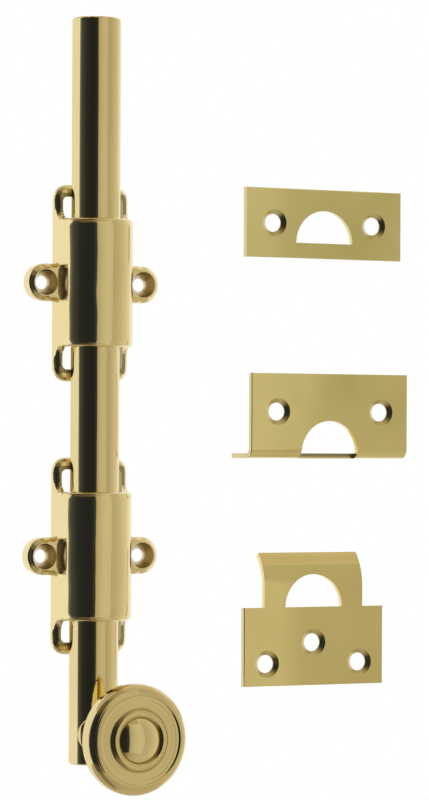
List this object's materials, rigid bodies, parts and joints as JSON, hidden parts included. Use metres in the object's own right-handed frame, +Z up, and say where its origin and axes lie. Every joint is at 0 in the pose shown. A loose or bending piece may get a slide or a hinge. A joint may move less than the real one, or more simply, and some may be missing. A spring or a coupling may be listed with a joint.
{
  "type": "surface bolt",
  "caption": "Half-round polished brass surface bolt with a round pull knob, sliding in screwed-on guides, and a set of loose flat, angle and universal strikes.",
  "frame": {"origin": "middle of the upper guide's two screw holes, on the face of the door that the guides are screwed to", "axes": "+Z up along the rod, towards the end that goes into the strike; +X to the right as seen from the room; +Y into the door"},
  "size_m": [0.1364, 0.0484, 0.2361],
  "materials": {
    "polished_brass": "polished",
    "satin_brass": "satin",
    "spring_brass": "hard rolled strip"
  },
  "bodies": {
    "mounting": {"upper_guide": "polished_brass", "lower_guide": "polished_brass", "upper_spring": "spring_brass", "lower_spring": "spring_brass", "strike_flat": "satin_brass", "strike_angle": "satin_brass", "strike_universal": "satin_brass"},
    "bolt": {"bolt_rod": "polished_brass", "knob": "polished_brass", "knob_screw": "polished_brass", "stop_pin": "polished_brass"}
  },
  "joints": [
    {"name": "bolt_slide", "type": "slide", "parent": "mounting", "child": "bolt", "axis": [0, 0, 1], "range_m": [0, 0.0276]}
  ]
}
